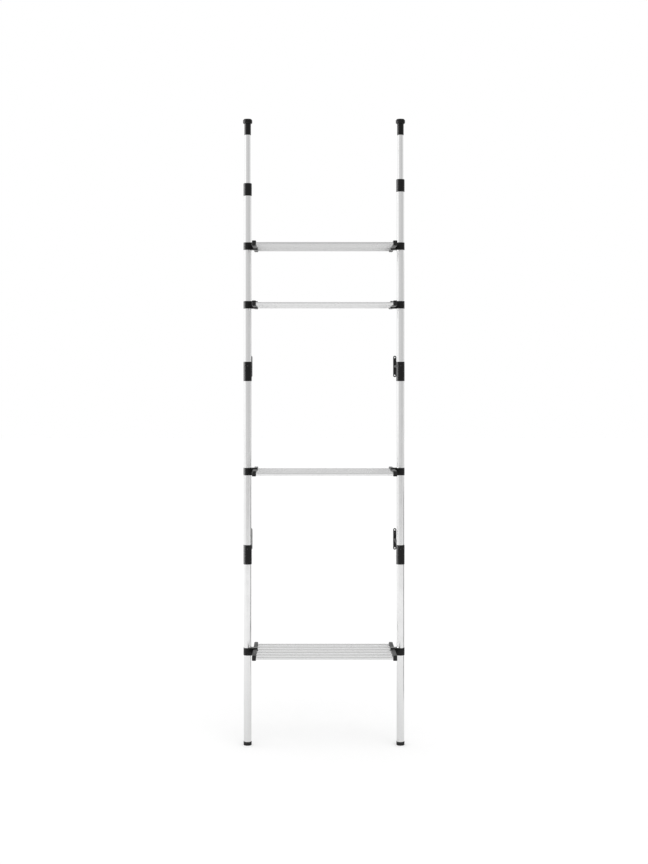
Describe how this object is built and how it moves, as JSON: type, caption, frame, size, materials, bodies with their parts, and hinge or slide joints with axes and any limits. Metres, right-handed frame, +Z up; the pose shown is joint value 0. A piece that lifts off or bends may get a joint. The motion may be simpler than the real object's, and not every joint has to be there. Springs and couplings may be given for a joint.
{
  "type": "tension pole shelf unit",
  "caption": "Floor-to-ceiling tension pole rack: slim silver poles with black couplers and spring caps carry height-adjustable rod shelves and wall fixing arms.",
  "frame": {"origin": "on the floor, midway between the two poles and midway between the shelves' front edge and the wall", "axes": "+Z up, +X to the right seen from the front, +Y to the back, towards the wall"},
  "size_m": [0.681, 0.512, 2.628],
  "materials": {
    "silver_tube": "satin silver-coated steel tube",
    "silver_rod": "satin silver-coated thin steel tube",
    "black_plastic": "fine-grained matte black moulding",
    "foot_rubber": "matte black elastomer",
    "pad_rubber": "matte dark elastomer",
    "inner_plastic": "natural nylon, hidden inside the tubes",
    "spring_steel": "oiled spring steel",
    "black_steel": "satin black powder coat"
  },
  "bodies": {
    "pole_frame": {"left_foot": "foot_rubber", "left_lower_tube": "silver_tube", "left_lower_coupler": "black_plastic", "left_middle_tube": "silver_tube", "left_upper_coupler": "black_plastic", "left_upper_tube": "silver_tube", "left_guide_collet": "inner_plastic", "left_lower_arm_tube": "black_steel", "left_upper_arm_tube": "black_steel", "right_foot": "foot_rubber", "right_lower_tube": "silver_tube", "right_lower_coupler": "black_plastic", "right_middle_tube": "silver_tube", "right_upper_coupler": "black_plastic", "right_upper_tube": "silver_tube", "right_guide_collet": "inner_plastic", "right_lower_arm_tube": "black_steel", "right_upper_arm_tube": "black_steel"},
    "left_top_pole": {"left_top_tube": "silver_tube", "left_tube_glide": "inner_plastic", "left_spring_seat": "inner_plastic", "left_cap_spring": "spring_steel"},
    "left_cap": {"left_ceiling_cap": "black_plastic", "left_ceiling_pad": "pad_rubber"},
    "left_lock": {"left_locking_collar": "black_plastic"},
    "left_lower_rod": {"left_lower_wall_rod": "black_steel"},
    "left_lower_plate": {"left_lower_wall_plate": "black_steel"},
    "left_upper_rod": {"left_upper_wall_rod": "black_steel"},
    "left_upper_plate": {"left_upper_wall_plate": "black_steel"},
    "right_top_pole": {"right_top_tube": "silver_tube", "right_tube_glide": "inner_plastic", "right_spring_seat": "inner_plastic", "right_cap_spring": "spring_steel"},
    "right_cap": {"right_ceiling_cap": "black_plastic", "right_ceiling_pad": "pad_rubber"},
    "right_lock": {"right_locking_collar": "black_plastic"},
    "right_lower_rod": {"right_lower_wall_rod": "black_steel"},
    "right_lower_plate": {"right_lower_wall_plate": "black_steel"},
    "right_upper_rod": {"right_upper_wall_rod": "black_steel"},
    "right_upper_plate": {"right_upper_wall_plate": "black_steel"},
    "shelf_1": {"shelf_1_rods": "silver_rod", "shelf_1_left_bar": "black_plastic", "shelf_1_left_clamp": "black_plastic", "shelf_1_right_bar": "black_plastic", "shelf_1_right_clamp": "black_plastic"},
    "shelf_2": {"shelf_2_rods": "silver_rod", "shelf_2_left_bar": "black_plastic", "shelf_2_left_clamp": "black_plastic", "shelf_2_right_bar": "black_plastic", "shelf_2_right_clamp": "black_plastic"},
    "shelf_3": {"shelf_3_rods": "silver_rod", "shelf_3_left_bar": "black_plastic", "shelf_3_left_clamp": "black_plastic", "shelf_3_right_bar": "black_plastic", "shelf_3_right_clamp": "black_plastic"},
    "shelf_4": {"shelf_4_rods": "silver_rod", "shelf_4_left_bar": "black_plastic", "shelf_4_left_clamp": "black_plastic", "shelf_4_right_bar": "black_plastic", "shelf_4_right_clamp": "black_plastic"}
  },
  "joints": [
    {"name": "left_top_slide", "type": "slide", "parent": "pole_frame", "child": "left_top_pole", "axis": [0, 0, 1], "range_m": [-0.16, 0.25]},
    {"name": "left_cap_press", "type": "slide", "parent": "left_top_pole", "child": "left_cap", "axis": [0, 0, 1], "range_m": [-0.018, 0], "stiffness_N_per_m": 3100, "springref_m": 0.01, "deforming": ["left_cap_spring"]},
    {"name": "left_lock_turn", "type": "hinge", "parent": "pole_frame", "child": "left_lock", "pos_m": [-0.321, -0.106, 2.3385], "axis": [0, 0, 1], "range_deg": [0, 120]},
    {"name": "left_lower_reach", "type": "slide", "parent": "pole_frame", "child": "left_lower_rod", "axis": [0, 1, 0], "range_m": [-0.07, 0.06]},
    {"name": "left_lower_swivel", "type": "hinge", "parent": "left_lower_rod", "child": "left_lower_plate", "pos_m": [-0.321, 0.256, 0.8235], "axis": [0, 1, 0], "range_deg": [-90, 90]},
    {"name": "left_upper_reach", "type": "slide", "parent": "pole_frame", "child": "left_upper_rod", "axis": [0, 1, 0], "range_m": [-0.07, 0.06]},
    {"name": "left_upper_swivel", "type": "hinge", "parent": "left_upper_rod", "child": "left_upper_plate", "pos_m": [-0.321, 0.256, 1.5925], "axis": [0, 1, 0], "range_deg": [-90, 90]},
    {"name": "right_top_slide", "type": "slide", "parent": "pole_frame", "child": "right_top_pole", "axis": [0, 0, 1], "range_m": [-0.16, 0.25]},
    {"name": "right_cap_press", "type": "slide", "parent": "right_top_pole", "child": "right_cap", "axis": [0, 0, 1], "range_m": [-0.018, 0], "stiffness_N_per_m": 3100, "springref_m": 0.01, "deforming": ["right_cap_spring"]},
    {"name": "right_lock_turn", "type": "hinge", "parent": "pole_frame", "child": "right_lock", "pos_m": [0.321, -0.106, 2.3555], "axis": [0, 0, 1], "range_deg": [0, 120]},
    {"name": "right_lower_reach", "type": "slide", "parent": "pole_frame", "child": "right_lower_rod", "axis": [0, 1, 0], "range_m": [-0.07, 0.06]},
    {"name": "right_lower_swivel", "type": "hinge", "parent": "right_lower_rod", "child": "right_lower_plate", "pos_m": [0.321, 0.256, 0.8235], "axis": [0, 1, 0], "range_deg": [-90, 90]},
    {"name": "right_upper_reach", "type": "slide", "parent": "pole_frame", "child": "right_upper_rod", "axis": [0, 1, 0], "range_m": [-0.07, 0.06]},
    {"name": "right_upper_swivel", "type": "hinge", "parent": "right_upper_rod", "child": "right_upper_plate", "pos_m": [0.321, 0.256, 1.5925], "axis": [0, 1, 0], "range_deg": [-90, 90]},
    {"name": "shelf_1_slide", "type": "slide", "parent": "pole_frame", "child": "shelf_1", "axis": [0, 0, 1], "range_m": [-0.1, 0.19]},
    {"name": "shelf_2_slide", "type": "slide", "parent": "pole_frame", "child": "shelf_2", "axis": [0, 0, 1], "range_m": [-0.22, 0.1]},
    {"name": "shelf_3_slide", "type": "slide", "parent": "pole_frame", "child": "shelf_3", "axis": [0, 0, 1], "range_m": [-0.29, 0.36]},
    {"name": "shelf_4_slide", "type": "slide", "parent": "pole_frame", "child": "shelf_4", "axis": [0, 0, 1], "range_m": [-0.36, 0.34]}
  ]
}
